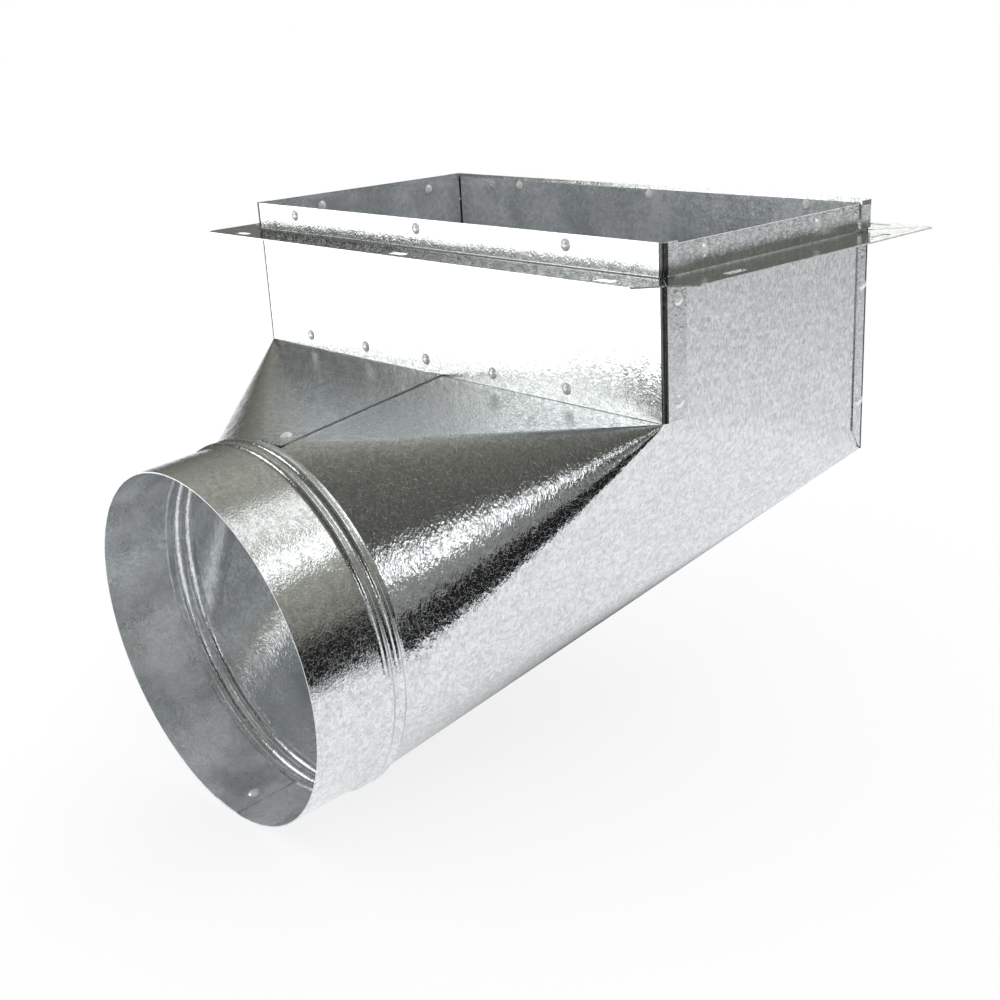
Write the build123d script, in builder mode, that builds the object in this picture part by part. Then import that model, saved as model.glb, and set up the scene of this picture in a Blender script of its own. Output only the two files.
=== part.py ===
from build123d import *
from math import acos, asin, atan2, cos, degrees, hypot, radians, sin, tan
import os

# Galvanised sheet-steel duct register box, in millimetres.
# The origin is the centre of the register opening, in the plane of the flange's underside.
# +Z points out of the opening, and the round collar leaves the box towards -Y.

# Sheet and fits
sheet = 0.6
angle_sheet = 0.7
bend_radius = 0.8
fit_gap = 0.1

# Box
box_width = 304.8
box_depth = 152.4
front_height = 63.4
back_height = 111.0
wall_rise = 13.2
fold_radius = 25.0
tab_height = 14.0
tab_relief = 4.0
panel_lift = 0.2

# Side flanges of the front and back panels
front_flange = 14.7
back_flange = 9.0
back_flange_chamfer = 11.0
panel_flange_top = 1.0

# Collar and neck
collar_diameter = 177.8
collar_length = 51.0
mouth_reach = 230.3
mouth_drop = 164.9
mouth_tilt = 3.8
throat_gap = 0.4
rib_width = 6.0
rib_height = 1.6
rib_gap = 0.4
rib_margin = 1.1
neck_margin = 2.5
collar_seam_angle = 271.0
collar_seam_gap = 0.4
collar_lap = 14.0
collar_lap_root = 3.5

# Lap seams of the transition
lap_under = 4.0
lap_root = 7.0
lap_at_box = 1.5
lap_at_collar = 12.0
lap_sink = 0.5
lap_end_gap = 1.5

# Flange angles
flange_width = 22.0
leg_proud = 2.4
right_leg_proud = 1.0
leg_setback = 1.6
corner_tab = 9.0
corner_tab_foot = 2.0
mitre_gap = 0.8
corner_clip = 2.0
cut_corner_clip = 15.0
slot_length = 14.0
slot_width = 4.6
slot_inset = 6.5
long_slot_count = 3
long_slot_margin = 12.4
long_slot_shift = -7.0
short_slot_count = 2
short_slot_margin = 21.2
short_slot_shift = 7.0

# Rivets
shank_diameter = 3.2
hole_diameter = 3.4
head_diameter = 6.0
head_height = 1.5
tail_diameter = 5.6
tail_height = 1.8
long_rivet_count = 3
long_rivet_margin = 47.0
long_rivet_shift = -10.0
long_rivet_edge = 2.6
short_rivet_count = 2
short_rivet_margin = 35.1
short_rivet_shift = -8.4
short_rivet_edge = 4.6
seam_rivet_count = 5
seam_rivet_margin = 50.4
seam_rivet_shift = -10.0
seam_rivet_height = 7.0
front_side_rivet_inset = 9.5
front_side_rivet_drop = 9.4
front_side_rivet_height = 8.6
back_side_rivet_inset = 4.5
back_side_rivet_drop = 25.4
back_side_rivet_height = 26.6
lap_rivet_setback = 11.0
lap_rivet_x = 3.0
collar_rivet_depth = 15.0

# Places worked out from the sizes above
panel_face = box_depth / 2
panel_back = panel_face - sheet
tab_back = panel_back - sheet
wall_face = box_width / 2 - sheet
wall_back = wall_face - sheet
collar_radius = collar_diameter / 2
neck_radius = collar_radius - sheet - fit_gap
throat_depth = collar_length + throat_gap
rib_round = ((rib_width / 4) ** 2 + (rib_height / 2) ** 2) / rib_height
rib_angle = degrees(asin(rib_width / 4 / rib_round))
rib_last = collar_length - rib_margin - rib_width / 2
rib_centres = (rib_last - rib_width - rib_gap, rib_last)
neck_start = rib_centres[0] - rib_width / 2 - neck_margin
front_edge = (-panel_back, -front_height)
back_edge = (panel_back, -back_height)
leg_height = wall_rise + leg_proud
right_leg_height = wall_rise + right_leg_proud
drill_depth = 2 * (angle_sheet + 2 * sheet)

# Directions that the outer faces look in
to_front = (0, -1, 0)
to_back = (0, 1, 0)
to_right = (1, 0, 0)
to_left = (-1, 0, 0)

# Planes of the collar: a section through its axis, and the circle where the transition ends
inward = Vector(0, cos(radians(mouth_tilt)), sin(radians(mouth_tilt)))
mouth = Vector(0, -mouth_reach, -mouth_drop)
mouth_axis = Axis(mouth, inward * -1)
section_plane = Plane(origin=mouth, x_dir=inward, z_dir=(1, 0, 0))
throat = Plane(origin=mouth + inward * throat_depth, x_dir=(1, 0, 0), z_dir=inward * -1)


def throat_point(radius, angle):
    """Point on the circle where the transition meets the neck."""
    return throat.from_local_coords(Vector(radius, 0, 0).rotate(Axis.Z, angle))


def side_angle(half_width, front, back, radius):
    """Angle on the throat of the point that the flat below a side wall reaches."""
    corner = Vector(half_width, *front)
    run = Vector(half_width, *back) - corner
    reach = (throat.origin - corner).dot(throat.z_dir) / run.dot(throat.z_dir)
    meet = throat.to_local_coords(corner + run * reach)
    return degrees(atan2(meet.Y, meet.X) - acos(radius / hypot(meet.X, meet.Y)))


def transition_core(half_width, front, back, radius):
    """Closed body from the box's sloped rectangle to the throat: four flats and four cones."""
    right_front = Vector(half_width, *front)
    right_back = Vector(half_width, *back)
    left_front = Vector(-half_width, *front)
    left_back = Vector(-half_width, *back)
    side = side_angle(half_width, front, back, radius)
    flats = [
        (left_front, right_front, right_back, left_back),
        (left_front, right_front, throat_point(radius, 90)),
        (right_back, left_back, throat_point(radius, 270)),
        (right_front, right_back, throat_point(radius, side)),
        (left_back, left_front, throat_point(radius, 180 - side)),
    ]
    cones = [
        (right_front, Edge.make_circle(radius, throat, side, 90)),
        (left_front, Edge.make_circle(radius, throat, 90, 180 - side)),
        (left_back, Edge.make_circle(radius, throat, 180 - side, 270)),
        (right_back, Edge.make_circle(radius, throat, 270, 360 + side)),
    ]
    faces = [Face(Wire.make_polygon(points)) for points in flats]
    faces.append(Face(Wire([arc for corner, arc in cones])))
    for corner, arc in cones:
        faces += Shell.make_loft([Vertex(*corner), Wire([arc])], ruled=True).faces()
    return Solid(Shell(faces))


def fold_waste(half_width, front, back, radius, bend):
    """What the soft folds below the side walls take off the sharp corners there."""
    corner = Vector(half_width, *front)
    run = Vector(half_width, *back) - corner
    tip = throat_point(radius, side_angle(half_width, front, back, radius))
    turn = (tip - corner).cross(run).get_angle(Vector(*to_right))
    rise = bend * tan(radians(turn / 2))
    with BuildPart() as waste:
        with BuildSketch(Plane(origin=corner, x_dir=to_right, z_dir=run)):
            with BuildLine():
                arc = CenterArc((-bend, -rise), bend, 0, turn)
                Polyline(arc @ 1, (sheet, (arc @ 1).Y), (sheet, -rise), arc @ 0)
            make_face()
        extrude(amount=2 * run.length, both=True)
        mirror(about=Plane.YZ)
    return waste.part


def duct_form(half_width, front, back, radius, top, bend):
    """Solid form of the box and the transition together, with soft folds below its side walls."""
    with BuildPart() as form:
        add(transition_core(half_width, front, back, radius))
        with BuildSketch(Plane.YZ):
            with BuildLine():
                Polyline(front, back, (back[0], top), (front[0], top), close=True)
            make_face()
        extrude(amount=half_width, both=True)
        add(fold_waste(half_width, front, back, radius, bend), mode=Mode.SUBTRACT)
    return form.part


def slope_of(edge, angle):
    """Angle of the flat between a panel's lower edge and the throat, from the horizontal."""
    end = throat_point(neck_radius, angle)
    return atan2(edge[1] - end.Z, edge[0] - end.Y)


def wall_line(inset, start, end):
    """Line along the collar's wall, set in from its outside, with the two rolled ribs."""
    radius = collar_radius - inset
    at = start
    for centre in rib_centres:
        foot = centre - rib_width / 2
        heel = centre + rib_width / 2
        crown = collar_radius + rib_height - rib_round
        Line((at, radius), (foot, radius))
        CenterArc((foot, collar_radius + rib_round), rib_round + inset, -90, rib_angle)
        CenterArc((centre, crown), rib_round - inset, 90 + rib_angle, -2 * rib_angle)
        CenterArc((heel, collar_radius + rib_round), rib_round + inset, -90 - rib_angle, rib_angle)
        at = heel
    Line((at, radius), (end, radius))


def wall_section(inset, start, end):
    """Section of a ribbed wall one sheet thick, drawn in the collar's section plane."""
    with BuildSketch(section_plane) as section:
        with BuildLine():
            wall_line(inset, start, end)
            wall_line(inset + sheet, start, end)
            Line((start, collar_radius - inset), (start, collar_radius - inset - sheet))
            Line((end, collar_radius - inset), (end, collar_radius - inset - sheet))
        make_face()
    return section.sketch


def row(count, length, margin, shift):
    """Places along a strip, evenly spaced between margins at its ends and then shifted."""
    reach = length / 2 - margin
    return [shift - reach + 2 * reach * index / (count - 1) for index in range(count)]


def facing(points, direction):
    """Locations at the given points, each with its Z along the given direction."""
    return [Plane(origin=point, z_dir=direction).location for point in points]


def mirrored(points):
    """The same points on the left side."""
    return [(-x, y, z) for x, y, z in points]


def pierce(locations):
    """Rivet holes through the sheets at the given places."""
    with Locations(*locations):
        Cylinder(hole_diameter / 2, 2 * drill_depth, mode=Mode.SUBTRACT)


# Rows of slots and rivets, the rivets as points on the outer face that their heads sit on
long_slots = row(long_slot_count, box_width, long_slot_margin, long_slot_shift)
short_slots = row(short_slot_count, box_depth, short_slot_margin, short_slot_shift)
long_rivets = row(long_rivet_count, box_width, long_rivet_margin, long_rivet_shift)
short_rivets = row(short_rivet_count, box_depth, short_rivet_margin, short_rivet_shift)
seam_rivets = row(seam_rivet_count, box_width, seam_rivet_margin, seam_rivet_shift)
long_rivet_z = wall_rise - long_rivet_edge
short_rivet_z = wall_rise - short_rivet_edge
front_seam_z = -front_height + seam_rivet_height
back_seam_z = -back_height + seam_rivet_height
front_leg_y = panel_face + angle_sheet
side_leg_x = wall_face + angle_sheet
front_leg_points = [(x, -front_leg_y, long_rivet_z) for x in long_rivets]
back_leg_points = [(-x, front_leg_y, long_rivet_z) for x in long_rivets]
right_leg_points = [(side_leg_x, y, short_rivet_z) for y in short_rivets]
left_leg_points = [(-side_leg_x, -y, short_rivet_z) for y in short_rivets]
front_seam_points = [(x, -panel_face, front_seam_z) for x in seam_rivets]
back_seam_points = [(-x, panel_face, back_seam_z) for x in seam_rivets]
front_side_y = -panel_face + front_side_rivet_inset
back_side_y = panel_face - back_side_rivet_inset
front_side_zs = (-front_side_rivet_drop, -front_height + front_side_rivet_height)
back_side_zs = (-back_side_rivet_drop, -back_height + back_side_rivet_height)
front_side_points = [(box_width / 2, front_side_y, z) for z in front_side_zs]
back_side_points = [(box_width / 2, back_side_y, z) for z in back_side_zs]
front_side_places = facing(front_side_points, to_right) + facing(mirrored(front_side_points), to_left)
back_side_places = facing(back_side_points, to_right) + facing(mirrored(back_side_points), to_left)


def lap_plane(edge, angle):
    """Plane of the flat below a panel's lower edge, with Z outwards and Y towards the collar."""
    start = Vector(0, *edge)
    along = (throat_point(neck_radius, angle) - start).normalized()
    outward = Vector(*to_right).cross(along)
    if outward.dot(throat_point(neck_radius, angle) - throat.origin) < 0:
        return Plane(origin=start, x_dir=to_left, z_dir=outward * -1)
    return Plane(origin=start, x_dir=to_right, z_dir=outward)


def lap_outline(plane, run, edge_at_box, edge_at_collar):
    """Plan of a lap strip on its plane, from its root on the left half to its free edge."""
    sign = plane.x_dir.X
    near = sheet + 2 * fit_gap
    far = run - lap_end_gap
    with BuildSketch(plane) as outline:
        with BuildLine():
            Polyline(
                (-sign * lap_root, near),
                (sign * edge_at_box, near),
                (sign * edge_at_collar, far),
                (-sign * lap_root, far),
                close=True,
            )
        make_face()
    return outline.sketch


def lap_rivet_place(plane, run):
    """Place of a lap seam's rivet, on the outer face of the lap strip."""
    across = plane.x_dir.X * lap_rivet_x
    return plane.offset(sheet + fit_gap).location * Location((across, run - lap_rivet_setback, 0))


laps = [
    (lap_plane(front_edge, 90), (throat_point(neck_radius, 90) - Vector(0, *front_edge)).length),
    (lap_plane(back_edge, 270), (throat_point(neck_radius, 270) - Vector(0, *back_edge)).length),
]
lap_places = [lap_rivet_place(plane, run) for plane, run in laps]

# Body: both side walls, the square-to-round transition and the neck, before it is cut in halves
front_slope = slope_of(front_edge, 90)
back_slope = slope_of(back_edge, 270)
front_in = (-tab_back, -front_height - sheet * (1 - sin(front_slope)) / cos(front_slope))
back_in = (tab_back, -back_height + sheet * (1 - sin(back_slope)) / cos(back_slope))
above = wall_rise + sheet

with BuildPart() as body:
    add(duct_form(wall_face, front_edge, back_edge, neck_radius, wall_rise, fold_radius))
    hollow = duct_form(wall_back, front_in, back_in, neck_radius - sheet, above, fold_radius - sheet)
    add(hollow, mode=Mode.SUBTRACT)
    # The front and back walls stay only as tabs, free of the side walls
    for edge, way in ((front_edge, -1), (back_edge, 1)):
        with BuildSketch(Plane.XZ.offset(-way * panel_back)):
            with BuildLine():
                tab_end = wall_back - tab_relief
                crest = edge[1] + tab_height
                Polyline(
                    (-wall_back, edge[1]),
                    (-tab_end, edge[1]),
                    (-tab_end, crest),
                    (tab_end, crest),
                    (tab_end, edge[1]),
                    (wall_back, edge[1]),
                    (wall_back, above),
                    (-wall_back, above),
                    close=True,
                )
            make_face()
        extrude(amount=way * sheet, mode=Mode.SUBTRACT)
        # The side walls stop at the start of the panels' bends
        middle_x = wall_face - sheet / 2
        middle_z = (edge[1] + above) / 2
        with Locations((-middle_x, way * panel_back, middle_z), (middle_x, way * panel_back, middle_z)):
            Box(2 * sheet, 2 * bend_radius, above - edge[1], mode=Mode.SUBTRACT)
    revolve(wall_section(sheet + fit_gap, neck_start, throat_depth), axis=mouth_axis)
    pierce(facing(front_seam_points, to_front))
    pierce(facing(back_seam_points, to_back))
    pierce(facing(right_leg_points, to_right))
    pierce(facing(left_leg_points, to_left))
    pierce(front_side_places + back_side_places)

with BuildPart() as right_half:
    add(body.part)
    split(bisect_by=Plane.YZ.offset(-lap_under), keep=Keep.TOP)
    pierce(lap_places)

with BuildPart() as left_half:
    add(body.part)
    root_edge = -lap_under - fit_gap
    split(bisect_by=Plane.YZ.offset(root_edge), keep=Keep.BOTTOM)
    for plane, run in laps:
        # The lap strip lies on the right half, and its root is joggled down into the left half
        extrude(lap_outline(plane.offset(fit_gap), run, lap_at_box, lap_at_collar), amount=sheet)
        extrude(lap_outline(plane.offset(-lap_sink), run, root_edge, root_edge), amount=lap_sink + fit_gap)
    pierce(lap_places)


def folded_panel(face, flange, foot):
    """A panel in the front place: a plate whose side edges fold back over the side walls."""
    across = box_width / 2 - sheet / 2
    middle = face - sheet / 2
    with BuildPart() as panel:
        with BuildSketch(Plane.XY.offset(foot)):
            with BuildLine():
                FilletPolyline(
                    (-across, -face + flange),
                    (-across, -middle),
                    (across, -middle),
                    (across, -face + flange),
                    radius=bend_radius + sheet / 2,
                )
            trace(line_width=sheet)
        extrude(amount=-panel_flange_top - foot)
        with BuildSketch(Plane.XY.offset(-panel_flange_top)):
            with Locations((0, -middle)):
                Rectangle(2 * wall_face, sheet)
        extrude(amount=wall_rise + panel_flange_top)
    return panel.part


with BuildPart() as front_panel:
    add(folded_panel(panel_face, front_flange, -front_height + panel_lift))
    pierce(facing(front_leg_points + front_seam_points, to_front) + front_side_places)

with BuildPart() as back_panel:
    add(folded_panel(panel_face, back_flange, -back_height), rotation=(0, 0, 180))
    # The lower ends of the side flanges are cut off along the fold of the side wall
    with BuildSketch(Plane.YZ):
        with BuildLine():
            flange_end = panel_face - back_flange
            bend_start = panel_back - bend_radius
            Polyline(
                (flange_end - sheet, -back_height - sheet),
                (bend_start, -back_height - sheet),
                (bend_start, -back_height),
                (flange_end, -back_height + back_flange_chamfer),
                (flange_end - sheet, -back_height + back_flange_chamfer),
                close=True,
            )
        make_face()
    extrude(amount=box_width, both=True, mode=Mode.SUBTRACT)
    pierce(facing(back_leg_points + back_seam_points, to_back) + back_side_places)


def strip_end(face, corner, clip):
    """Plan of the right end of a flange strip: square leg, mitred flange, clipped corner."""
    outer = face + angle_sheet + flange_width
    root = face + angle_sheet + bend_radius
    mitre = corner - face
    relief = mitre_gap / 2 ** 0.5
    cut = clip / 2 ** 0.5
    return [
        (corner - leg_setback, -face + angle_sheet),
        (corner - leg_setback, -root),
        (root + mitre - relief, -root),
        (outer - cut + mitre - relief, -outer + cut),
        (outer - 2 * cut + mitre, -outer - angle_sheet),
    ]


def corner_tabs(face, corner, leg):
    """Leg of a long strip from end to end, with its ends bent round the corners over the short legs."""
    middle = face + angle_sheet / 2
    across = corner + bend_radius + angle_sheet / 2
    tab_end = -face - angle_sheet + corner_tab
    with BuildPart() as tabs:
        with BuildSketch(Plane.XY.offset(corner_tab_foot)):
            with BuildLine():
                FilletPolyline(
                    (-across, tab_end),
                    (-across, -middle),
                    (across, -middle),
                    (across, tab_end),
                    radius=bend_radius + angle_sheet / 2,
                )
            trace(line_width=angle_sheet)
        extrude(amount=leg - corner_tab_foot)
    return tabs.part


def flange_angle(face, corner, leg, with_tabs, clips, rivets, rivet_height, slots):
    """An L-shaped flange strip in the front place, with its slots and rivet holes."""
    middle = face + angle_sheet / 2
    outer = face + angle_sheet + flange_width
    with BuildPart() as angle:
        with BuildSketch(Plane.YZ):
            with BuildLine():
                FilletPolyline(
                    (-middle, leg),
                    (-middle, angle_sheet / 2),
                    (-outer, angle_sheet / 2),
                    radius=bend_radius + angle_sheet / 2,
                )
            trace(line_width=angle_sheet)
        extrude(amount=corner + outer - face, both=True)
        with BuildSketch():
            with BuildLine():
                left = [(-x, y) for x, y in strip_end(face, corner, clips[0])]
                right = strip_end(face, corner, clips[1])
                Polyline(*left, *reversed(right), close=True)
            make_face()
        extrude(amount=leg, mode=Mode.INTERSECT)
        with BuildSketch():
            with Locations(*[(x, -outer + slot_inset) for x in slots]):
                SlotOverall(slot_length, slot_width)
        extrude(amount=angle_sheet, mode=Mode.SUBTRACT)
        if with_tabs:
            add(corner_tabs(face, corner, leg))
        pierce(facing([(x, -face - angle_sheet, rivet_height) for x in rivets], to_front))
    return angle.part


long_strip = (panel_face, wall_face, leg_height, True)
right_strip = (wall_face, panel_face, right_leg_height, False)
left_strip = (wall_face, panel_face, leg_height, False)
long_holes = (long_rivets, long_rivet_z, long_slots)
short_holes = (short_rivets, short_rivet_z, short_slots)
plain_ends = (corner_clip, corner_clip)

with BuildPart() as front_angle:
    add(flange_angle(*long_strip, (corner_clip, cut_corner_clip), *long_holes))

with BuildPart() as back_angle:
    add(flange_angle(*long_strip, plain_ends, *long_holes), rotation=(0, 0, 180))

with BuildPart() as right_angle:
    add(flange_angle(*right_strip, (cut_corner_clip, corner_clip), *short_holes), rotation=(0, 0, 90))

with BuildPart() as left_angle:
    add(flange_angle(*left_strip, plain_ends, *short_holes), rotation=(0, 0, -90))

# Collar: a ribbed ring whose ends lap inside at the bottom
lap_outside = collar_radius - sheet - fit_gap
lap_inside = lap_outside - sheet
lap_angle = degrees(collar_lap / lap_outside)
lap_start = collar_seam_angle - lap_angle
root_start = lap_start - degrees(collar_lap_root / lap_outside)
root_stop = lap_start - degrees(collar_seam_gap / 2 / collar_radius)
lap_length = neck_start - sheet
collar_rivet_seat = lap_inside - fit_gap
collar_rivet_grip = collar_radius - fit_gap - collar_rivet_seat
out_of_collar = (throat_point(1, collar_seam_angle - lap_angle / 2) - throat.origin).normalized()
collar_rivet_point = mouth + inward * collar_rivet_depth + out_of_collar * collar_rivet_seat
collar_rivet_places = facing([collar_rivet_point], out_of_collar * -1)


def collar_strip(low, high, start):
    """Section of a strip inside the collar between two radii, turned to its starting angle."""
    with BuildSketch(section_plane) as section:
        with Locations((lap_length / 2, (low + high) / 2)):
            Rectangle(lap_length, high - low)
    return section.sketch.rotate(mouth_axis, start - 90)


with BuildPart() as collar:
    revolve(wall_section(0, 0, collar_length), axis=mouth_axis)
    with BuildSketch(section_plane.offset(-collar_seam_gap / 2), mode=Mode.PRIVATE) as slit:
        with Locations((collar_length / 2, collar_radius)):
            Rectangle(2 * collar_length, 2 * (rib_height + sheet))
    extrude(slit.sketch.rotate(mouth_axis, lap_start - 90), amount=collar_seam_gap, mode=Mode.SUBTRACT)
    lap_strip = collar_strip(lap_inside, lap_outside, root_start)
    revolve(lap_strip, axis=mouth_axis, revolution_arc=collar_seam_angle - root_start)
    root_strip = collar_strip(lap_outside - sheet / 2, collar_radius - sheet / 2, root_start)
    revolve(root_strip, axis=mouth_axis, revolution_arc=root_stop - root_start)
    pierce(collar_rivet_places)


def dome_radius(rim, height):
    """Radius of a round dome from that of its rim and its height."""
    return (rim ** 2 + height ** 2) / 2 / height


def rivet(grip, with_tail=True):
    """Rivet with its domed head above the origin and its domed tail below the sheets it holds."""
    head = head_diameter / 2
    tail = tail_diameter / 2
    shank = shank_diameter / 2
    tip = -grip - tail_height
    with BuildPart() as pin:
        with BuildSketch(Plane.XZ):
            with BuildLine():
                RadiusArc((head, 0), (0, head_height), -dome_radius(head, head_height))
                Polyline((head, 0), (shank, 0), (shank, -grip), (0, -grip), (0, head_height))
            make_face()
            if with_tail:
                with BuildLine():
                    RadiusArc((0, tip), (tail, -grip), -dome_radius(tail, tail_height))
                    Polyline((tail, -grip), (0, -grip), (0, tip))
                make_face()
        revolve(axis=Axis.Z)
    return pin.part


leg_rivet = rivet(angle_sheet + sheet)
panel_rivet = rivet(2 * sheet)
lap_rivet = rivet(2 * sheet + fit_gap)

with BuildPart() as front_angle_rivets:
    with Locations(*facing(front_leg_points, to_front)):
        add(leg_rivet)

with BuildPart() as back_angle_rivets:
    with Locations(*facing(back_leg_points, to_back)):
        add(leg_rivet)

with BuildPart() as right_angle_rivets:
    with Locations(*facing(right_leg_points, to_right)):
        add(leg_rivet)

with BuildPart() as left_angle_rivets:
    with Locations(*facing(left_leg_points, to_left)):
        add(leg_rivet)

with BuildPart() as front_panel_rivets:
    with Locations(*front_side_places):
        add(panel_rivet)

with BuildPart() as back_panel_rivets:
    with Locations(*back_side_places):
        add(panel_rivet)

with BuildPart() as front_seam_rivet_row:
    with Locations(*facing(front_seam_points, to_front)):
        add(panel_rivet)

with BuildPart() as back_seam_rivet_row:
    with Locations(*facing(back_seam_points, to_back)):
        add(panel_rivet)

with BuildPart() as lap_rivets:
    with Locations(*lap_places):
        add(lap_rivet)

with BuildPart() as collar_rivet:
    with Locations(*collar_rivet_places):
        add(rivet(collar_rivet_grip, with_tail=False))

pieces = {
    "right_body_half": right_half,
    "left_body_half": left_half,
    "front_panel": front_panel,
    "back_panel": back_panel,
    "collar": collar,
    "front_flange_angle": front_angle,
    "back_flange_angle": back_angle,
    "right_flange_angle": right_angle,
    "left_flange_angle": left_angle,
    "front_flange_rivets": front_angle_rivets,
    "back_flange_rivets": back_angle_rivets,
    "right_flange_rivets": right_angle_rivets,
    "left_flange_rivets": left_angle_rivets,
    "front_panel_rivets": front_panel_rivets,
    "back_panel_rivets": back_panel_rivets,
    "front_seam_rivets": front_seam_rivet_row,
    "back_seam_rivets": back_seam_rivet_row,
    "lap_seam_rivets": lap_rivets,
    "collar_rivet": collar_rivet,
}
os.makedirs("parts", exist_ok=True)
for name, piece in pieces.items():
    piece.part.label = name
    export_step(piece.part, f"parts/{name}.step")
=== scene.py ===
from math import cos, pi, radians, sin

import bmesh
import bpy
from bpy.props import FloatProperty, FloatVectorProperty, PointerProperty
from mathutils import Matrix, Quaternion, Vector


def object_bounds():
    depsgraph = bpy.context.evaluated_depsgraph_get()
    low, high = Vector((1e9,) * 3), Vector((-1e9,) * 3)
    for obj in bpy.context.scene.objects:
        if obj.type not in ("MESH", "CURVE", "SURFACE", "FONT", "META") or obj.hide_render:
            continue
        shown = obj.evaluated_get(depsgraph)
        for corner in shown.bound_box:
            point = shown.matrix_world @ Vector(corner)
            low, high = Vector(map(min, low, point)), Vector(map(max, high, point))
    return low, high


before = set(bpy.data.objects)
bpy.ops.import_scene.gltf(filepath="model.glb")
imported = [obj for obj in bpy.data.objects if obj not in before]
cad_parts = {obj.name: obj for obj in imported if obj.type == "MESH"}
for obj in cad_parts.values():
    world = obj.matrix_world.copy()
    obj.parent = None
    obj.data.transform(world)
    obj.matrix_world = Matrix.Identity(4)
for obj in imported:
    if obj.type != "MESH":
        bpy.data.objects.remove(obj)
cad_low, cad_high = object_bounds()

bl_info = {
    "name": "Duct register box",
    "version": (1, 0, 0),
    "blender": (4, 5, 0),
    "location": "View3D > Sidebar > Register box",
    "description": "Dresses a galvanised sheet-steel register box and its studio",
    "category": "Object",
}

# Nodes of the frame, by the finish that they take
RIGHT_HALF_NODES = ("right_body_half",)
LEFT_HALF_NODES = ("left_body_half",)
PANEL_NODES = ("front_panel", "back_panel")
COLLAR_NODES = ("collar",)
ANGLE_NODES = ("front_flange_angle", "right_flange_angle", "left_flange_angle")
BACK_ANGLE_NODES = ("back_flange_angle",)
RIVET_NODES = (
    "front_flange_rivets",
    "back_flange_rivets",
    "right_flange_rivets",
    "left_flange_rivets",
    "front_panel_rivets",
    "back_panel_rivets",
    "front_seam_rivets",
    "back_seam_rivets",
    "lap_seam_rivets",
    "collar_rivet",
)

# Share of the crystals in the zinc's tone, beside the grain
CRYSTAL_SHARE = 0.3
# Tones between which the zinc goes from dull to bright, and from hazy to glossy
TINT_TONES = (0.4, 0.9)
HAZE_TONES = (0.42, 0.66)
# Tones of the noise between which the matt patches thicken, and the share of stain at their thinnest
PATCH_TONES = (0.4, 0.6)
THIN_PATCH = 0.4
# A point inside the box, which the inner faces look at
BOX_INSIDE = (0.0, -0.05, -0.12)
# Height above which the back rim leans outwards
RIM_FOLD = 0.0134
# Rivets: how much of them is bare metal, their stains to the metre, and their roughness from dull to bright
RIVET_METAL = 0.45
RIVET_STAINS = 700.0
RIVET_ROUGHNESS = (0.30, 0.12)

# Light of the world on matt surfaces, and as it is seen
WORLD_LEVELS = (1.06, 1.0)
# Depth over which the room darkens towards its front, as shares of its radius
ROOM_FADE = (-0.6, 0.4)
# Height at which the room is brightest, as a share of its radius, and the blue in its warm white
ROOM_BRIGHTEST = 0.75
ROOM_BLUE = 0.86
# Warm white of the cards, and the brightness of the black one
CARD_WHITE = (1.0, 1.0, 0.96, 1.0)
BLACK_LEVEL = 0.015
PLAIN_WHITE = (1.0, 1.0, 1.0, 1.0)
# The sheet that shows the metal a shaded floor: half its width, its middle and its height above the floor
SHADE_REACH = 0.95
SHADE_MIDDLE = (0.65, 0.65)
SHADE_LIFT = 0.0001
# The painted contact shadow under the object, a dark oval seen only in the metal: its middle, its half-axes,
# and the part of them over which it fades
OVAL_MIDDLE = (0.0, 0.02)
OVAL_AXES = (0.15, 0.24, 1.0)
OVAL_FADE = (0.08, 0.98)
# The spot of floor lit in front on the left, and the height of its lamp
LIT_SPOT = (-0.95, -0.85)
FLOOR_LAMP_HEIGHT = 0.7


def length(name, description, default):
    """A size in metres."""
    return FloatProperty(name=name, description=description, default=default, unit="LENGTH", precision=5)


def share(name, description, default):
    """A share from nothing to all."""
    return FloatProperty(
        name=name, description=description, default=default, min=0.0, max=1.0, subtype="FACTOR"
    )


def amount(name, description, default, least=0.0):
    """A plain number: a slope, a stretch, or a brightness where 1 shows as white."""
    return FloatProperty(name=name, description=description, default=default, min=least)


def colour(name, description, default):
    """A linear colour."""
    return FloatVectorProperty(
        name=name, description=description, default=default, subtype="COLOR", min=0.0, max=1.0
    )


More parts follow.
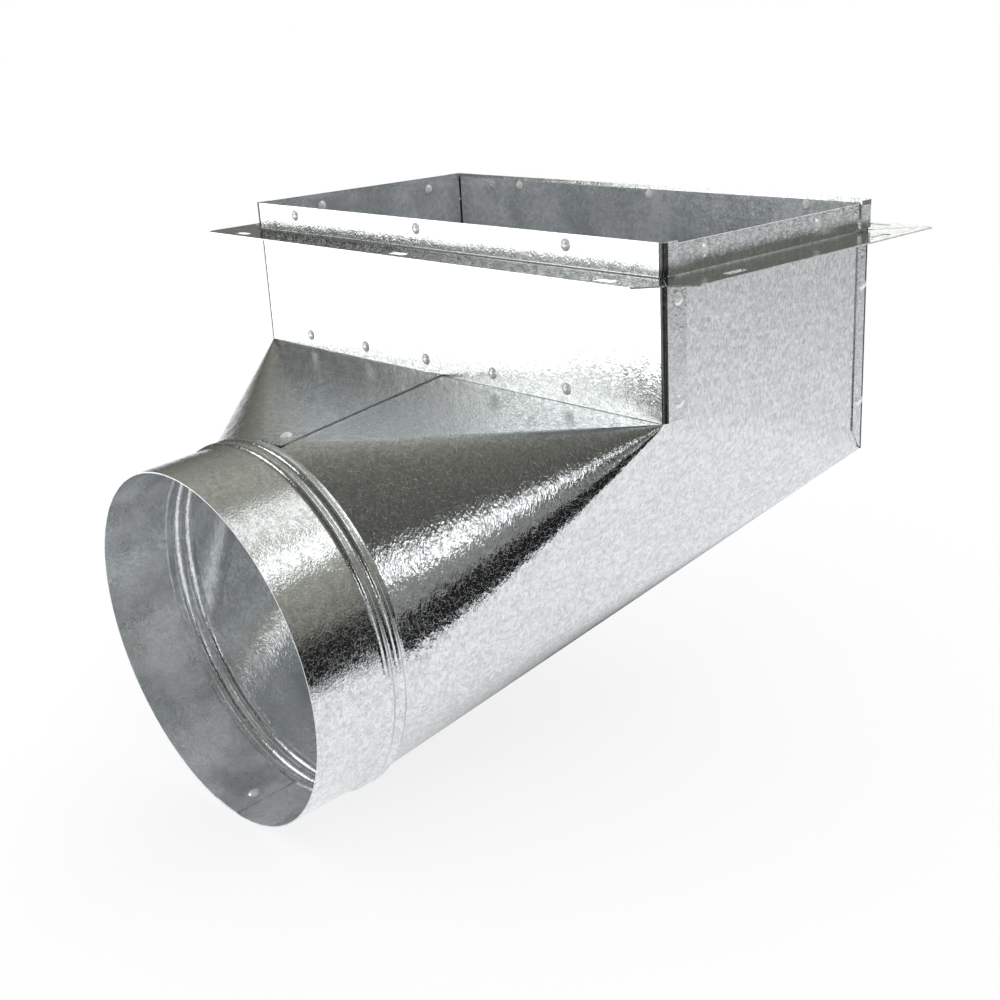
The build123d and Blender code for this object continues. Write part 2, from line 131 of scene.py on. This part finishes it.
class ZincSettings(bpy.types.PropertyGroup):
    """Finish of the galvanised sheets and of the rivets."""

    bright: colour("Bright zinc", "Colour of the brightest crystals", (0.84, 0.86, 0.88))
    dull: colour("Dull zinc", "Colour of the dullest crystals", (0.58, 0.605, 0.62))
    crystal_size: length("Crystal size", "Width of a zinc crystal", 0.0022)
    crystal_tilt: amount("Crystal tilt", "Slope of the crystals' faces", 0.04)
    grain_size: length("Grain size", "Width of the fine rolled grain", 0.0011)
    grain_height: length("Grain height", "Depth of the fine rolled grain", 0.00011)
    grain_stretch: amount("Grain stretch", "Length of the body's grain for its width", 3.0, least=1.0)
    wave_size: length("Wave size", "Width of the slow waves of thin sheet", 0.075)
    wave_height: length("Wave height", "Depth of the slow waves of thin sheet", 0.00035)
    gloss: share("Gloss", "Roughness of the brightest crystals", 0.08)
    haze: share("Haze", "Roughness of the dullest crystals", 0.36)
    inner_stain: share("Inner stain", "How far the matt zinc spreads inside the box", 0.3)
    stain_size: length("Stain size", "Width of the matt patches inside the box", 0.03)
    # Painted shade: a dark line along the box's upright folds, standing in for the shade of the rounded
    # folds; its colour and how far it reaches from a fold
    fold: colour("Fold zinc", "Colour of the zinc that crazed along the upright folds", (0.08, 0.08, 0.08))
    fold_shade_reach: length("Fold reach", "How far the crazed zinc reaches from a fold", 0.0022)
    rim_lean: amount("Rim lean", "Slope of the back rim's bent edge", 0.4)
    panel_lean: amount("Panel lean", "Slope of the bulging panels", 0.045)
    rivet_bright: colour("Bright rivet", "Colour of a rivet's clean metal", (0.90, 0.90, 0.89))
    rivet_dull: colour("Dull rivet", "Colour of a rivet's stained metal", (0.74, 0.74, 0.72))


class StudioSettings(bpy.types.PropertyGroup):
    """Camera, floor and lamps."""

    camera_place: FloatVectorProperty(
        name="Camera place",
        description="Where the camera stands",
        default=(0.53926, -0.51945, 0.10747),
        subtype="XYZ",
        unit="LENGTH",
    )
    camera_turn: FloatVectorProperty(
        name="Camera turn",
        description="How the camera is turned",
        default=(radians(70.96), radians(2.99), radians(47.30)),
        subtype="EULER",
        unit="ROTATION",
    )
    camera_lens: FloatProperty(
        name="Lens", description="Focal length on a 36 mm sensor", default=50.19, unit="CAMERA"
    )
    floor_reach: length("Floor reach", "Half the width of the floor", 40.0)
    floor_colour: colour("Floor colour", "Colour of the pale floor", (0.94, 0.95, 0.95))
    floor_glow: share("Floor glow", "How much of the floor is plain white, without shadow", 0.75)
    room_reach: length("Room reach", "Radius of the room that the metal mirrors", 2.4)
    room_low: amount("Room low", "Brightness of the room at the horizon", 0.13)
    room_middle: amount("Room middle", "Brightness of the room half-way up", 0.45)
    room_high: amount("Room high", "Brightness of the room overhead", 0.34)
    room_front: share("Room front", "Brightness of the room's front for that of its back", 0.3)
    key_level: amount("Key level", "Brightness of the soft lamp high on the right", 1.3)
    top_level: amount("Top level", "Brightness of the soft lamp overhead", 0.8)
    front_level: amount("Front level", "Brightness of the strip lamp behind the camera", 1.9)
    low_level: amount("Low level", "Brightness of the lamp that the neck mirrors", 2.8)
    floor_lamp_level: amount("Floor lamp level", "Brightness of the lamp over the floor in front", 12.0)
    white_card: amount("White card", "Brightness of the cards on the left of the front", 2.3)
    back_card: amount("Back card", "Brightness of the card behind the object", 1.2)
    # Painted shade: the floor seen in the metal darkens behind on the right, as the light falls off with
    # distance
    floor_dim: share("Floor dim", "How far the floor darkens behind on the right", 0.4)
    grey_card: amount("Grey card", "Brightness of the card below the camera", 0.27)


class RegisterBoxSettings(bpy.types.PropertyGroup):
    """All settings of the register box."""

    zinc: PointerProperty(type=ZincSettings)
    studio: PointerProperty(type=StudioSettings)


def settings():
    """The settings of the scene in hand."""
    return bpy.context.scene.register_box


def fill(tree, slots, terms):
    """Gives each slot its term: a link from a socket, or a plain value."""
    for slot, term in zip(slots, terms):
        if isinstance(term, bpy.types.NodeSocket):
            tree.links.new(term, slot)
        else:
            slot.default_value = term


def node(tree, kind, **values):
    """A node with its properties, and with sockets or plain values for its inputs."""
    made = tree.nodes.new(kind)
    for key, value in values.items():
        if key in made.inputs:
            fill(tree, (made.inputs[key],), (value,))
        else:
            setattr(made, key, value)
    return made


def math(tree, operation, first, second):
    """The result of a math node on two terms."""
    made = node(tree, "ShaderNodeMath", operation=operation)
    fill(tree, made.inputs, (first, second))
    return made.outputs[0]


def vector_math(tree, operation, *terms):
    """A vector math node on one or two vectors, as its outputs."""
    made = node(tree, "ShaderNodeVectorMath", operation=operation)
    fill(tree, made.inputs, terms)
    return made.outputs


def mapped(tree, value, ends, results=(0.0, 1.0)):
    """A value moved evenly from one pair of ends to another, and held between them."""
    made = node(tree, "ShaderNodeMapRange", clamp=True, Value=value)
    slots = [made.inputs[name] for name in ("From Min", "From Max", "To Min", "To Max")]
    fill(tree, slots, (*ends, *results))
    return made.outputs["Result"]


def blend(tree, amount_of_second, first, second):
    """A colour between two colours."""
    made = node(tree, "ShaderNodeMix", data_type="RGBA")
    fill(tree, (made.inputs[0], made.inputs[6], made.inputs[7]), (amount_of_second, first, second))
    return made.outputs[2]


def new_group(name, vectors, numbers, outputs):
    """An empty shader node group with its sockets: what it is given, and the inputs of what it puts out."""
    group = bpy.data.node_groups.new(name, "ShaderNodeTree")
    for label in vectors:
        group.interface.new_socket(name=label, in_out="INPUT", socket_type="NodeSocketVector")
    for label, default in numbers.items():
        made = group.interface.new_socket(name=label, in_out="INPUT", socket_type="NodeSocketFloat")
        made.default_value = default
    for label in outputs:
        group.interface.new_socket(name=label, in_out="OUTPUT", socket_type="NodeSocketFloat")
    return group, group.nodes.new("NodeGroupInput").outputs, group.nodes.new("NodeGroupOutput").inputs


def spangle_group(name):
    """Zinc crystals: a tone for each crystal, and its face's slope as a height in metres."""
    group, given, put = new_group(name, ("Vector",), {"Size": 0.005, "Tilt": 0.02}, ("Tone", "Height"))
    half = (0.5, 0.5, 0.5)
    scale = math(group, "DIVIDE", 1.0, given["Size"])
    ragged = node(
        group,
        "ShaderNodeTexNoise",
        Vector=given["Vector"],
        Scale=math(group, "MULTIPLY", scale, 1.6),
        Detail=1.0,
        Roughness=0.5,
    )
    shift = vector_math(group, "SUBTRACT", ragged.outputs["Color"], half)["Vector"]
    reach = math(group, "MULTIPLY", given["Size"], 0.9)
    sized = node(group, "ShaderNodeVectorMath", operation="SCALE", Vector=shift, Scale=reach)
    moved = vector_math(group, "ADD", given["Vector"], sized.outputs["Vector"])["Vector"]
    cells = node(
        group, "ShaderNodeTexVoronoi", feature="F1", Vector=moved, Scale=scale, Randomness=1.0
    ).outputs
    arm = vector_math(group, "SUBTRACT", moved, cells["Position"])["Vector"]
    lean = vector_math(group, "SUBTRACT", cells["Color"], half)["Vector"]
    slope = vector_math(group, "DOT_PRODUCT", arm, lean)["Value"]
    tone = node(group, "ShaderNodeSeparateColor", Color=cells["Color"]).outputs[0]
    group.links.new(tone, put["Tone"])
    group.links.new(math(group, "MULTIPLY", slope, given["Tilt"]), put["Height"])
    return group


def grain_group(name):
    """Fine grain of rolled sheet: a tone and a height in metres."""
    group, given, put = new_group(name, ("Vector",), {"Size": 0.001, "Depth": 0.0}, ("Tone", "Height"))
    scale = math(group, "DIVIDE", 1.0, given["Size"])
    fine = node(
        group, "ShaderNodeTexNoise", Vector=given["Vector"], Scale=scale, Detail=2.0, Roughness=0.6
    ).outputs[0]
    group.links.new(fine, put["Tone"])
    group.links.new(math(group, "MULTIPLY", fine, given["Depth"]), put["Height"])
    return group


def wave_group(name):
    """Slow waves of thin sheet between its folds, as a height in metres."""
    group, given, put = new_group(name, ("Vector",), {"Size": 0.1, "Depth": 0.0}, ("Height",))
    scale = math(group, "DIVIDE", 1.0, given["Size"])
    slow = node(
        group, "ShaderNodeTexNoise", Vector=given["Vector"], Scale=scale, Detail=1.0, Roughness=0.4
    ).outputs[0]
    group.links.new(math(group, "MULTIPLY", slow, given["Depth"]), put["Height"])
    return group


def inner_group(name):
    """Mask of the faces that look into the box: 1 inside and 0 outside."""
    group, given, put = new_group(name, ("Vector", "Normal"), {}, ("Mask",))
    arm = vector_math(group, "SUBTRACT", given["Vector"], BOX_INSIDE)["Vector"]
    facing = vector_math(group, "DOT_PRODUCT", arm, given["Normal"])["Value"]
    group.links.new(math(group, "LESS_THAN", facing, 0.0), put["Mask"])
    return group


def fold_group(name):
    """Mask of the box's four upright folds: 1 at a fold and 0 away from it."""
    group, given, put = new_group(name, ("Vector", "Corner"), {"Reach": 0.001}, ("Mask",))
    quarter = vector_math(group, "ABSOLUTE", given["Vector"])["Vector"]
    arm = vector_math(group, "SUBTRACT", quarter, given["Corner"])["Vector"]
    level_arm = vector_math(group, "MULTIPLY", arm, (1.0, 1.0, 0.0))["Vector"]
    away = vector_math(group, "LENGTH", level_arm)["Value"]
    group.links.new(math(group, "LESS_THAN", away, given["Reach"]), put["Mask"])
    return group


def placed(tree, build, name, **values):
    """The outputs of a node group set in a material, the group built the first time that it is asked for."""
    group = bpy.data.node_groups.get(name) or build(name)
    return node(tree, "ShaderNodeGroup", node_tree=group, **values).outputs


def box_corner():
    """The corner of the box that the front panel folds round, seen from above."""
    points = [vertex.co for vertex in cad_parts["front_panel"].data.vertices]
    return max(point.x for point in points), -min(point.y for point in points), 0.0


def zinc_tint(tree, tone, where, fold_shaded):
    """Colour of the zinc by its tone, with painted shade: darker along the box's upright folds."""
    zinc = settings().zinc
    tint = blend(tree, mapped(tree, tone, TINT_TONES), (*zinc.dull, 1.0), (*zinc.bright, 1.0))
    if not fold_shaded:
        return tint
    # Painted shade: darkens the zinc near the upright folds
    fold_shade = placed(tree, fold_group, "Fold line", Vector=where, Corner=box_corner(), Reach=zinc.fold_shade_reach)
    return blend(tree, fold_shade["Mask"], tint, (*zinc.fold, 1.0))


def leaning(tree, where, lean, lean_from):
    """Depth of a sheet that leans back above a height."""
    height = node(tree, "ShaderNodeSeparateXYZ", Vector=where).outputs["Z"]
    above = math(tree, "MAXIMUM", math(tree, "SUBTRACT", height, lean_from), 0.0)
    return math(tree, "MULTIPLY", above, lean)


def inner_metal(tree, points, moved, stained):
    """How bare the zinc is: all of it outside, and less where matt patches lie inside."""
    zinc = settings().zinc
    inner = placed(tree, inner_group, "Inner side", Vector=points["Object"], Normal=points["Normal"])
    patch = node(
        tree, "ShaderNodeTexNoise", Vector=moved, Scale=1.0 / zinc.stain_size, Detail=2.0, Roughness=0.5
    )
    stain = zinc.inner_stain * stained
    patchy = mapped(tree, patch.outputs[0], PATCH_TONES, (THIN_PATCH * stain, stain))
    return math(tree, "SUBTRACT", 1.0, math(tree, "MULTIPLY", patchy, inner["Mask"]))


def new_material(name):
    """A material with its node tree and the inputs of its shader."""
    made = bpy.data.materials.new(name)
    made.use_nodes = True
    return made, made.node_tree, made.node_tree.nodes["Principled BSDF"].inputs


def zinc_sheet(
    name, shift, grain, waves, haziness, stretch=1.0, stained=1.0, lean=0.0, lean_from=0.0, fold_shaded=False
):
    """Galvanised sheet: crystals, rolled grain that may be drawn out, slow waves, and matt patches inside."""
    zinc = settings().zinc
    made, tree, shader = new_material(name)
    link = tree.links.new
    points = node(tree, "ShaderNodeTexCoord").outputs
    where = points["Object"]
    drawn_out = (1.0, 1.0, 1.0 / stretch)
    moved = node(tree, "ShaderNodeMapping", Vector=where, Location=shift).outputs[0]
    drawn = node(tree, "ShaderNodeMapping", Vector=where, Location=shift, Scale=drawn_out).outputs[0]
    spangle = placed(
        tree, spangle_group, "Zinc spangle", Vector=moved, Size=zinc.crystal_size, Tilt=zinc.crystal_tilt
    )
    rolled = placed(
        tree, grain_group, "Rolled grain", Vector=drawn, Size=zinc.grain_size, Depth=zinc.grain_height * grain
    )
    slow = placed(
        tree, wave_group, "Sheet waves", Vector=moved, Size=zinc.wave_size, Depth=zinc.wave_height * waves
    )
    tone = math(tree, "ADD", math(tree, "MULTIPLY", spangle["Tone"], CRYSTAL_SHARE), rolled["Tone"])
    link(zinc_tint(tree, tone, where, fold_shaded), shader["Base Color"])
    hazy = zinc.gloss + (zinc.haze - zinc.gloss) * haziness
    link(mapped(tree, tone, HAZE_TONES, (hazy, zinc.gloss)), shader["Roughness"])
    height = math(tree, "ADD", math(tree, "ADD", spangle["Height"], rolled["Height"]), slow["Height"])
    if lean:
        height = math(tree, "SUBTRACT", height, leaning(tree, where, lean, lean_from))
    relief = node(tree, "ShaderNodeBump", Strength=1.0, Distance=1.0, Height=height)
    link(relief.outputs["Normal"], shader["Normal"])
    link(inner_metal(tree, points, moved, stained), shader["Metallic"])
    return made


def rivet_metal():
    """Bright plated rivets, stained a little where they were set."""
    zinc = settings().zinc
    made, tree, shader = new_material("Plated rivet")
    where = node(tree, "ShaderNodeTexCoord").outputs["Object"]
    stain = node(
        tree, "ShaderNodeTexNoise", Vector=where, Scale=RIVET_STAINS, Detail=3.0, Roughness=0.6
    ).outputs[0]
    tint = blend(tree, stain, (*zinc.rivet_dull, 1.0), (*zinc.rivet_bright, 1.0))
    tree.links.new(tint, shader["Base Color"])
    tree.links.new(mapped(tree, stain, (0.0, 1.0), RIVET_ROUGHNESS), shader["Roughness"])
    shader["Metallic"].default_value = RIVET_METAL
    return made


def dress(names, material):
    """Gives nodes of the frame a finish."""
    for name in names:
        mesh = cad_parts[name].data
        mesh.materials.clear()
        mesh.materials.append(material)


class REGISTERBOX_OT_body(bpy.types.Operator):
    """Finish the two body halves: side walls, transition and neck"""

    bl_idname = "registerbox.body"
    bl_label = "Body halves"

    def execute(self, context):
        drawn = {"grain": 1.8, "waves": 1.0, "haziness": 0.65, "stretch": settings().zinc.grain_stretch}
        dress(RIGHT_HALF_NODES, zinc_sheet("Galvanised right half", shift=(0.0, 0.0, 0.0), **drawn))
        dress(LEFT_HALF_NODES, zinc_sheet("Galvanised left half", shift=(0.31, 0.17, 0.05), **drawn))
        return {"FINISHED"}


class REGISTERBOX_OT_panels(bpy.types.Operator):
    """Finish the front and back panels"""

    bl_idname = "registerbox.panels"
    bl_label = "Panels"

    def execute(self, context):
        panel = zinc_sheet(
            "Galvanised panel",
            shift=(0.12, 0.43, 0.27),
            grain=0.8,
            waves=0.6,
            haziness=0.25,
            lean=settings().zinc.panel_lean,
            lean_from=cad_low.z,
            # Painted shade along the box's upright folds
            fold_shaded=True,
        )
        dress(PANEL_NODES, panel)
        return {"FINISHED"}


class REGISTERBOX_OT_collar(bpy.types.Operator):
    """Finish the collar"""

    bl_idname = "registerbox.collar"
    bl_label = "Collar"

    def execute(self, context):
        collar = zinc_sheet(
            "Galvanised collar", shift=(0.53, 0.07, 0.19), grain=1.0, waves=0.5, haziness=0.8, stained=1.7
        )
        dress(COLLAR_NODES, collar)
        return {"FINISHED"}


class REGISTERBOX_OT_flange(bpy.types.Operator):
    """Finish the four flange angles"""

    bl_idname = "registerbox.flange"
    bl_label = "Flange angles"

    def execute(self, context):
        bent = {"grain": 0.8, "waves": 0.3, "haziness": 0.25}
        # The three angles also get painted shade along the upright folds
        dress(ANGLE_NODES, zinc_sheet("Galvanised angle", shift=(0.21, 0.33, 0.61), fold_shaded=True, **bent))
        back = zinc_sheet(
            "Galvanised back angle",
            shift=(0.4, 0.1, 0.2),
            lean=settings().zinc.rim_lean,
            lean_from=RIM_FOLD,
            **bent,
        )
        dress(BACK_ANGLE_NODES, back)
        return {"FINISHED"}


class REGISTERBOX_OT_rivets(bpy.types.Operator):
    """Finish the rivets"""

    bl_idname = "registerbox.rivets"
    bl_label = "Rivets"

    def execute(self, context):
        dress(RIVET_NODES, rivet_metal())
        return {"FINISHED"}


def background_ray(tree):
    """1 for the rays that see the plain background: the camera's, and those mirrored or let through."""
    path = node(tree, "ShaderNodeLightPath").outputs
    seen = math(tree, "MAXIMUM", path["Is Camera Ray"], path["Is Glossy Ray"])
    return math(tree, "MAXIMUM", seen, path["Is Transmission Ray"])


def plain_world():
    """White background, and an even light on the floor."""
    world = bpy.data.worlds.new("Studio")
    bpy.context.scene.world = world
    world.use_nodes = True
    tree = world.node_tree
    shader = tree.nodes["Background"].inputs
    shader["Color"].default_value = PLAIN_WHITE
    tree.links.new(mapped(tree, background_ray(tree), (0.0, 1.0), WORLD_LEVELS), shader["Strength"])


def stage_material(name):
    """A material without a shader, with its node tree and the socket of its surface."""
    made = bpy.data.materials.new(name)
    made.use_nodes = True
    tree = made.node_tree
    tree.nodes.remove(tree.nodes["Principled BSDF"])
    return made, tree, tree.nodes["Material Output"].inputs["Surface"]


def floor_paint():
    """Pale floor that shows as white and keeps a soft shadow."""
    studio = settings().studio
    made, tree, surface = stage_material("Pale floor")
    lit = node(tree, "ShaderNodeBsdfDiffuse", Color=(*studio.floor_colour, 1.0)).outputs[0]
    glow = node(tree, "ShaderNodeEmission", Color=PLAIN_WHITE, Strength=1.0).outputs[0]
    both = node(tree, "ShaderNodeMixShader")
    glowing = math(tree, "MULTIPLY", background_ray(tree), studio.floor_glow)
    fill(tree, both.inputs, (glowing, lit, glow))
    tree.links.new(both.outputs[0], surface)
    return made


def room_paint():
    """Dim room: darker at the horizon and overhead than half-way up, and darker in front than behind."""
    studio = settings().studio
    reach = studio.room_reach
    made, tree, surface = stage_material("Dim room")
    where = node(tree, "ShaderNodeTexCoord").outputs["Object"]
    split = node(tree, "ShaderNodeSeparateXYZ", Vector=where).outputs
    ramp = node(tree, "ShaderNodeValToRGB", Fac=math(tree, "DIVIDE", split["Z"], reach))
    tints = ((0.0, studio.room_low), (ROOM_BRIGHTEST, studio.room_middle), (1.0, studio.room_high))
    ramp.color_ramp.elements.new(ROOM_BRIGHTEST)
    for stop, (position, value) in zip(ramp.color_ramp.elements, tints):
        stop.position = position
        stop.color = (value, value, value * ROOM_BLUE, 1.0)
    ends = [part * reach for part in ROOM_FADE]
    depth = mapped(tree, split["Y"], ends, (studio.room_front, 1.0))
    glow = node(tree, "ShaderNodeEmission", Color=ramp.outputs[0], Strength=depth)
    tree.links.new(glow.outputs[0], surface)
    return made


def card_paint(name, brightness):
    """An evenly bright card."""
    made, tree, surface = stage_material(name)
    glow = node(tree, "ShaderNodeEmission", Color=CARD_WHITE, Strength=brightness)
    tree.links.new(glow.outputs[0], surface)
    return made


def shade_paint():
    """Floor seen in the metal, with a painted contact shadow under the object, and painted shade that darkens
    it further off behind on the right.
    """
    made, tree, surface = stage_material("Floor shade")
    where = node(tree, "ShaderNodeTexCoord").outputs["Object"]
    split = node(tree, "ShaderNodeSeparateXYZ", Vector=where).outputs
    aside, behind = (mapped(tree, split[axis], (0.0, 1.0)) for axis in "XY")
    # Painted shade: darker further off behind on the right
    dim = math(tree, "MULTIPLY", math(tree, "MULTIPLY", aside, behind), settings().studio.floor_dim)
    centred = vector_math(tree, "SUBTRACT", where, (*OVAL_MIDDLE, cad_low.z))["Vector"]
    away = vector_math(tree, "LENGTH", vector_math(tree, "DIVIDE", centred, OVAL_AXES)["Vector"])["Value"]
    # Painted contact shadow: dark under the object, fading out along the oval
    under = mapped(tree, away, OVAL_FADE)
    lit = math(tree, "MULTIPLY", math(tree, "SUBTRACT", 1.0, dim), under)
    glow = node(tree, "ShaderNodeEmission", Color=PLAIN_WHITE, Strength=lit)
    tree.links.new(glow.outputs[0], surface)
    return made


def stage_object(name, form, material):
    """A stage mesh made from a bmesh."""
    mesh = bpy.data.meshes.new(name)
    form.to_mesh(mesh)
    form.free()
    mesh.materials.append(material)
    made = bpy.data.objects.new(name, mesh)
    bpy.context.scene.collection.objects.link(made)
    return made


def mirrored_object(name, form, material):
    """A stage mesh kept out of the picture and out of the light, so that only metal shows it."""
    made = stage_object(name, form, material)
    made.visible_camera = False
    made.visible_diffuse = False
    made.visible_shadow = False
    made.visible_volume_scatter = False


def ground_sheet(reach, middle, lift):
    """A square sheet on the ground or a little above it."""
    form = bmesh.new()
    bmesh.ops.create_grid(form, x_segments=1, y_segments=1, size=reach)
    bmesh.ops.translate(form, verts=form.verts, vec=(*middle, cad_low.z + lift))
    return form


def make_floor():
    """The pale floor."""
    reach = settings().studio.floor_reach
    stage_object("floor", ground_sheet(reach, (0.0, 0.0), 0.0), floor_paint())


def make_room():
    """The dome that the metal mirrors, cut off at the floor."""
    form = bmesh.new()
    bmesh.ops.create_uvsphere(form, u_segments=64, v_segments=32, radius=settings().studio.room_reach)
    bmesh.ops.bisect_plane(
        form,
        geom=form.verts[:] + form.edges[:] + form.faces[:],
        plane_co=(0.0, 0.0, cad_low.z),
        plane_no=(0.0, 0.0, -1.0),
        clear_outer=True,
    )
    mirrored_object("room", form, room_paint())


def card(name, start, end, heights, paint, lift=0.0):
    """An upright card between two points of the floor, with a height at each, which may hang clear of it."""
    ground = cad_low.z
    corners = (
        (*start, ground + lift),
        (*end, ground + lift),
        (*end, ground + heights[1]),
        (*start, ground + heights[0]),
    )
    form = bmesh.new()
    bmesh.ops.contextual_create(form, geom=[form.verts.new(corner) for corner in corners])
    mirrored_object(name, form, paint)


def make_cards():
    """The cards that stand round the object, and the sheet that shades the floor."""
    studio = settings().studio
    black = card_paint("Black card", BLACK_LEVEL)
    card("black_card", start=(0.24, -0.34), end=(0.45, 0.09), heights=(0.085, 0.23), paint=black)
    grey = card_paint("Grey card", studio.grey_card)
    card("grey_card", start=(0.28, -0.55), end=(0.53, -0.27), heights=(0.21, 0.21), paint=grey)
    white = card_paint("White card", studio.white_card)
    card("high_card", start=(-1.16, -0.96), end=(-0.7, -1.34), heights=(1.22, 1.22), paint=white, lift=0.62)
    card("low_card", start=(-0.82, -0.38), end=(-0.14, -0.753), heights=(0.275, 0.292), paint=white)
    pale = card_paint("Back card", studio.back_card)
    card("back_card", start=(-1.53, 1.29), end=(-0.35, 1.97), heights=(0.75, 0.75), paint=pale)
    mirrored_object("floor_shade", ground_sheet(SHADE_REACH, SHADE_MIDDLE, SHADE_LIFT), shade_paint())


def soft_lamp(name, at, target, size, brightness, roll=0.0):
    """A rectangular soft lamp that looks at a point, its brightness given as seen from there."""
    data = bpy.data.lights.new(name, "AREA")
    data.shape = "RECTANGLE"
    data.size, data.size_y = size
    data.energy = brightness * pi * size[0] * size[1]
    made = bpy.data.objects.new(name, data)
    made.location = at
    aim = (Vector(target) - Vector(at)).to_track_quat("-Z", "Y")
    made.rotation_euler = (aim @ Quaternion((0.0, 0.0, 1.0), radians(roll))).to_euler()
    bpy.context.scene.collection.objects.link(made)
    return made


def from_here(azimuth, elevation, distance):
    """A point seen from the object, by its bearing from the back towards the right and its height."""
    a, e = radians(azimuth), radians(elevation)
    return Vector((sin(a) * cos(e), cos(a) * cos(e), sin(e))) * distance


def make_lamps():
    """The soft lamps, of which two light only what mirrors them."""
    studio = settings().studio
    middle = (cad_low + cad_high) / 2
    high_right = middle + from_here(azimuth=50.0, elevation=53.0, distance=1.5)
    soft_lamp("key_lamp", high_right, middle, (0.9, 0.34), studio.key_level)
    overhead = middle + from_here(azimuth=15.0, elevation=66.0, distance=1.5)
    top_lamp = soft_lamp("top_lamp", overhead, middle, (0.65, 0.65), studio.top_level)
    top_lamp.visible_diffuse = False
    soft_lamp("front_lamp", (0.685, -0.65, 0.093), middle, (0.36, 0.07), studio.front_level, roll=34.0)
    neck = (0.083, -0.175, -0.116)
    low_lamp = soft_lamp("low_lamp", (0.65, -0.828, 0.132), neck, (0.12, 0.26), studio.low_level)
    low_lamp.visible_diffuse = False
    lit_spot = Vector((*LIT_SPOT, cad_low.z))
    over_spot = lit_spot + Vector((0.0, 0.0, FLOOR_LAMP_HEIGHT))
    floor_lamp = soft_lamp("floor_lamp", over_spot, lit_spot, (0.9, 0.6), studio.floor_lamp_level)
    floor_lamp.data.spread = radians(90.0)


def make_camera():
    """The camera of the main view."""
    studio = settings().studio
    scene = bpy.context.scene
    data = bpy.data.cameras.new("camera")
    data.lens = studio.camera_lens
    data.clip_start = 0.01
    camera = bpy.data.objects.new("camera", data)
    camera.location = studio.camera_place
    camera.rotation_euler = studio.camera_turn
    scene.collection.objects.link(camera)
    scene.camera = camera


class REGISTERBOX_OT_stage(bpy.types.Operator):
    """Make the floor, the room, the lamps and the camera"""

    bl_idname = "registerbox.stage"
    bl_label = "Studio"

    def execute(self, context):
        plain_world()
        make_floor()
        make_room()
        make_cards()
        make_lamps()
        make_camera()
        context.scene.view_settings.view_transform = "Standard"
        return {"FINISHED"}


STEPS = (
    REGISTERBOX_OT_body,
    REGISTERBOX_OT_panels,
    REGISTERBOX_OT_collar,
    REGISTERBOX_OT_flange,
    REGISTERBOX_OT_rivets,
    REGISTERBOX_OT_stage,
)


class REGISTERBOX_PT_sidebar(bpy.types.Panel):
    """Lists the steps of the register box"""

    bl_idname = "REGISTERBOX_PT_sidebar"
    bl_label = "Register box"
    bl_space_type = "VIEW_3D"
    bl_region_type = "UI"
    bl_category = "Register box"

    def draw(self, context):
        for step in STEPS:
            self.layout.operator(step.bl_idname)


CLASSES = (ZincSettings, StudioSettings, RegisterBoxSettings, *STEPS, REGISTERBOX_PT_sidebar)


def register():
    for item in CLASSES:
        bpy.utils.register_class(item)
    bpy.types.Scene.register_box = PointerProperty(type=RegisterBoxSettings)


def unregister():
    del bpy.types.Scene.register_box
    for item in reversed(CLASSES):
        bpy.utils.unregister_class(item)


def main():
    register()
    bpy.ops.registerbox.body()
    bpy.ops.registerbox.panels()
    bpy.ops.registerbox.collar()
    bpy.ops.registerbox.flange()
    bpy.ops.registerbox.rivets()
    bpy.ops.registerbox.stage()


if __name__ == "__main__":
    main()
